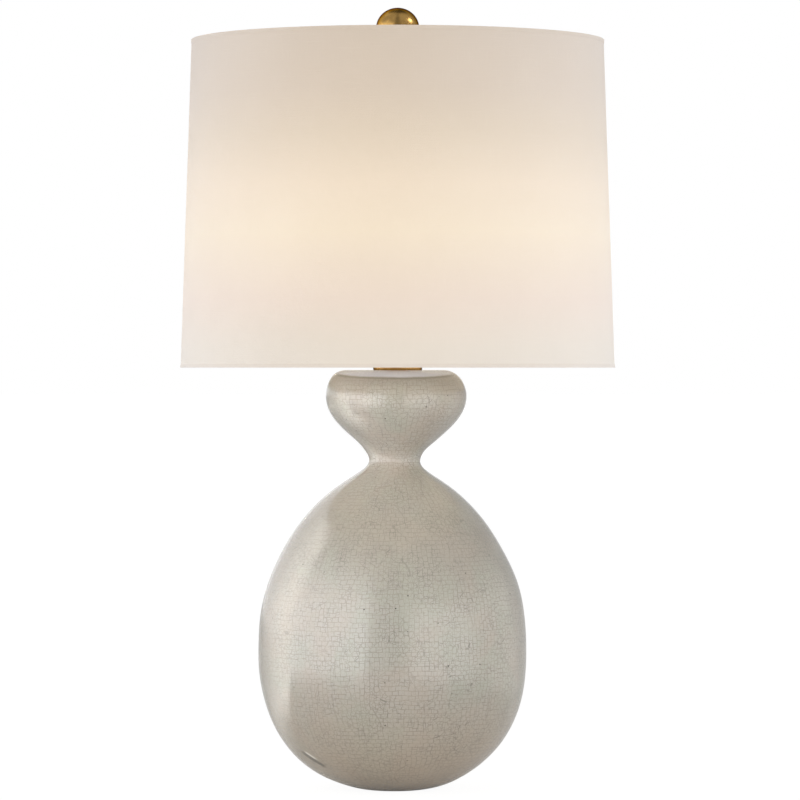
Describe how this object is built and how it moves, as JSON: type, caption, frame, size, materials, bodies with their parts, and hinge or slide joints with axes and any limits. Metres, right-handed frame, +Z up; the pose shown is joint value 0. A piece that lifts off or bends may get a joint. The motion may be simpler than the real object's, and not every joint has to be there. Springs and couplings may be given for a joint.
{
  "type": "table lamp",
  "caption": "Table lamp with a crackle-glazed double gourd base, brass neck, harp and finial, and a tapered linen drum shade over its bulb.",
  "frame": {"origin": "middle of the foot's underside, on the surface that the lamp stands on", "axes": "+Z up the lamp's axis; the front, with the switch knob, is towards -Y and the cord hole is at the rear, towards +Y; the harp lies in the XZ plane"},
  "size_m": [0.4065, 0.4066, 0.73],
  "materials": {
    "glaze": "crackle glaze over pale stoneware",
    "felt": "felt",
    "brass": "antiqued, satin",
    "steel": "zinc plated",
    "rubber": "matte",
    "phenolic": "moulded",
    "card": "plain",
    "linen": "woven linen",
    "styrene": "translucent sheet",
    "bulb_glass": "frosted",
    "clear_glass": "clear",
    "bulb_metal": "plain"
  },
  "bodies": {
    "base": {"felt_pad": "felt", "gourd_body": "glaze", "cord_grommet": "rubber", "threaded_rod": "steel", "foot_washer": "steel", "foot_lock_washer": "steel", "foot_nut": "steel", "seat_gasket": "rubber", "vase_cap": "brass", "neck_tube": "brass", "harp_saddle": "brass", "saddle_locknut": "brass", "socket_cap": "brass", "socket_set_screw": "steel", "socket_shell": "brass", "socket_liner": "card", "socket_core": "phenolic", "socket_screw_shell": "brass", "socket_contact": "brass", "socket_terminals": "brass"},
    "switch": {"switch_rotor": "phenolic", "switch_shaft": "steel", "switch_knob": "phenolic"},
    "bulb": {"bulb_tip": "steel", "bulb_insulator": "phenolic", "bulb_cap": "bulb_metal", "bulb_globe": "bulb_glass", "bulb_stem": "clear_glass", "bulb_filament": "steel"},
    "harp": {"harp_wire_right": "brass", "harp_wire_left": "brass", "harp_plate": "brass"},
    "right_sleeve": {"sleeve_right": "brass"},
    "left_sleeve": {"sleeve_left": "brass"},
    "stud": {"harp_stud": "brass"},
    "shade": {"shade_linen": "linen", "shade_liner": "styrene", "shade_top_hem": "linen", "shade_bottom_hem": "linen", "shade_seam": "linen", "shade_top_ring": "steel", "shade_bottom_ring": "steel", "shade_spider": "steel"},
    "finial": {"finial_ball": "brass", "finial_insert": "brass"}
  },
  "joints": [
    {"name": "switch_turn", "type": "hinge", "parent": "base", "child": "switch", "pos_m": [0, 0, 0.4453], "axis": [0, -1, 0], "continuous": true},
    {"name": "bulb_turn", "type": "hinge", "parent": "base", "child": "bulb", "pos_m": [0, 0, 0.4736], "axis": [0, 0, 1], "continuous": true},
    {"name": "harp_lift", "type": "slide", "parent": "base", "child": "harp", "axis": [0, 0, 1], "range_m": [0, 0.02]},
    {"name": "right_sleeve_lift", "type": "slide", "parent": "harp", "child": "right_sleeve", "axis": [0, 0, 1], "range_m": [0, 0.018]},
    {"name": "left_sleeve_lift", "type": "slide", "parent": "harp", "child": "left_sleeve", "axis": [0, 0, 1], "range_m": [0, 0.018]},
    {"name": "shade_swivel", "type": "hinge", "parent": "harp", "child": "stud", "pos_m": [0, 0, 0.684], "axis": [0, 0, 1], "continuous": true},
    {"name": "shade_lift", "type": "slide", "parent": "stud", "child": "shade", "axis": [0, 0, 1], "range_m": [0, 0.32]},
    {"name": "finial_turn", "type": "hinge", "parent": "shade", "child": "finial", "pos_m": [0, 0, 0.6877], "axis": [0, 0, 1], "continuous": true}
  ]
}
